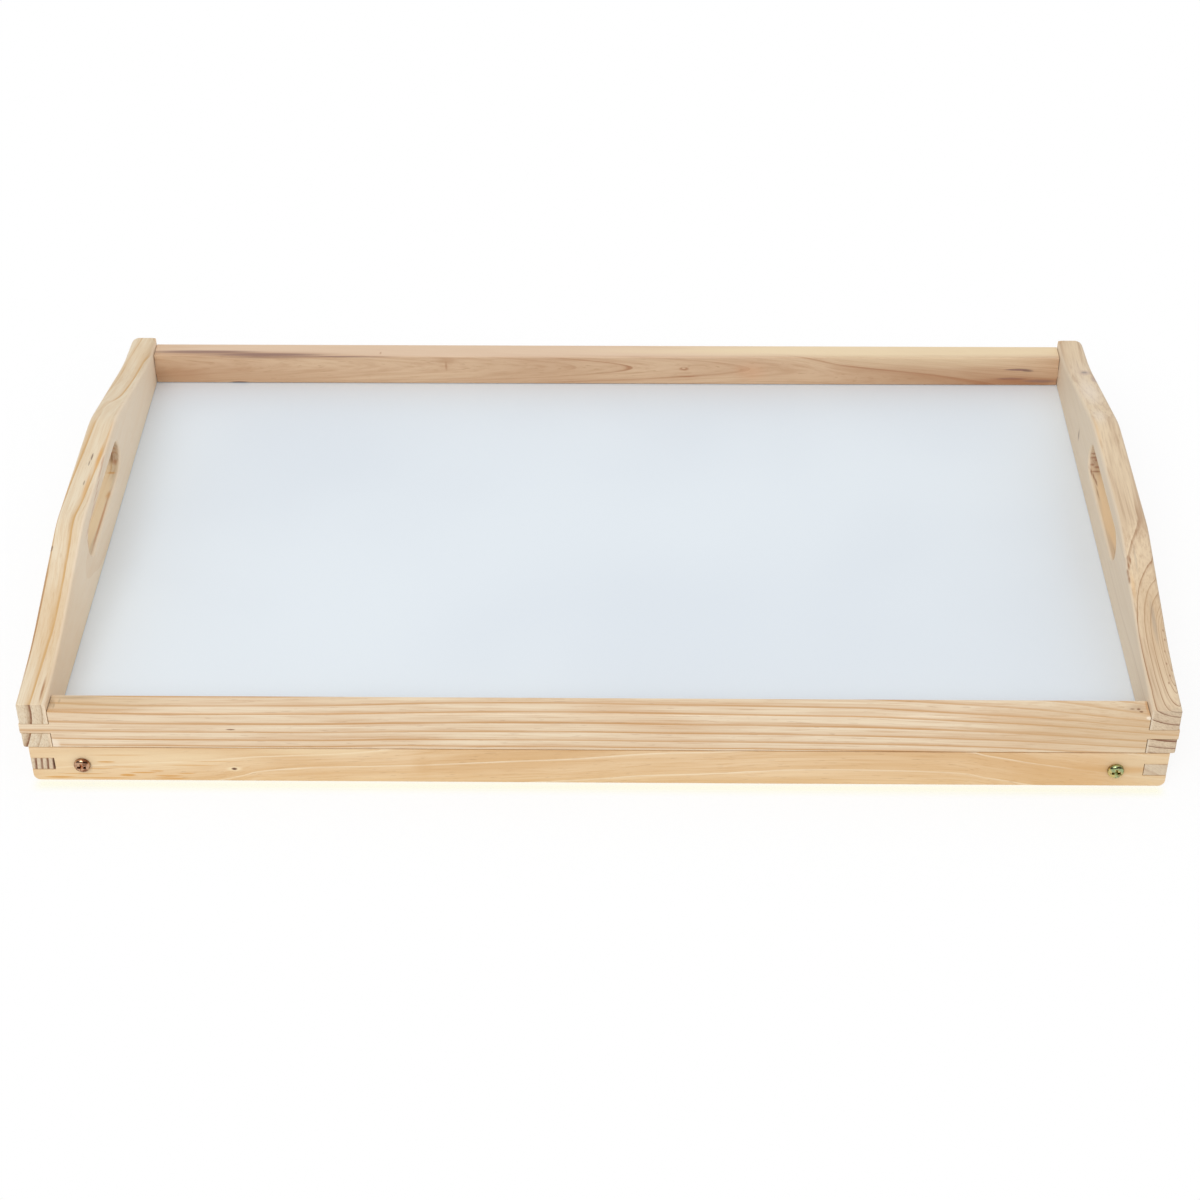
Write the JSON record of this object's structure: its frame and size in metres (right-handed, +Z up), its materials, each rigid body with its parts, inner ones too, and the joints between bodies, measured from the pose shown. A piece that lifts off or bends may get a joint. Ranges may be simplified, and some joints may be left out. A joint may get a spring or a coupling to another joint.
{
  "type": "bed tray",
  "caption": "Rectangular pine bed tray: finger-jointed frame with shaped handle ends, low rails, a white panel and leg frames that fold into its base.",
  "frame": {"origin": "middle of the folded tray, on the surface that its base frame rests on", "axes": "+X along the length to the user's right, +Y away from the user, +Z up"},
  "size_m": [0.5, 0.3054, 0.0629],
  "materials": {
    "pine_cream": "sanded pine, unvarnished, cream with orange growth lines",
    "pine_tan": "sanded pine, unvarnished, tan with brown growth rings",
    "pine_brown": "sanded pine heartwood, unvarnished, tan to brown",
    "pine_yellow": "sanded pine, unvarnished, yellow with broad bands",
    "white_laminate": "satin white laminate",
    "yellow_zinc": "steel, yellow zinc plated",
    "plain_zinc": "steel, plain zinc plated"
  },
  "bodies": {
    "tray": {"handle_board_left": "pine_cream", "handle_board_right": "pine_tan", "rail_front": "pine_cream", "rail_back": "pine_brown", "panel": "white_laminate", "base_bar_front": "pine_yellow", "base_bar_back": "pine_yellow", "base_cross_left": "pine_yellow", "base_cross_right": "pine_yellow", "frame_screw_front_left": "plain_zinc", "frame_screw_front_middle": "plain_zinc", "frame_screw_front_right": "plain_zinc", "frame_screw_back_left": "plain_zinc", "frame_screw_back_middle": "plain_zinc", "frame_screw_back_right": "plain_zinc"},
    "leg_frame_left": {"leg_left_front": "pine_cream", "leg_left_back": "pine_cream", "foot_bar_left": "pine_yellow", "pivot_screw_left_front": "yellow_zinc", "pivot_screw_left_back": "yellow_zinc", "pivot_washer_left_front": "plain_zinc", "pivot_washer_left_back": "plain_zinc"},
    "leg_frame_right": {"leg_right_front": "pine_cream", "leg_right_back": "pine_cream", "foot_bar_right": "pine_yellow", "pivot_screw_right_front": "yellow_zinc", "pivot_screw_right_back": "yellow_zinc", "pivot_washer_right_front": "plain_zinc", "pivot_washer_right_back": "plain_zinc"}
  },
  "joints": [
    {"name": "leg_left_fold", "type": "hinge", "parent": "tray", "child": "leg_frame_left", "pos_m": [-0.22515, 0, 0.0093], "axis": [0, 1, 0], "range_deg": [0, 95]},
    {"name": "leg_right_fold", "type": "hinge", "parent": "tray", "child": "leg_frame_right", "pos_m": [0.22515, 0, 0.0093], "axis": [0, -1, 0], "range_deg": [0, 95]}
  ]
}
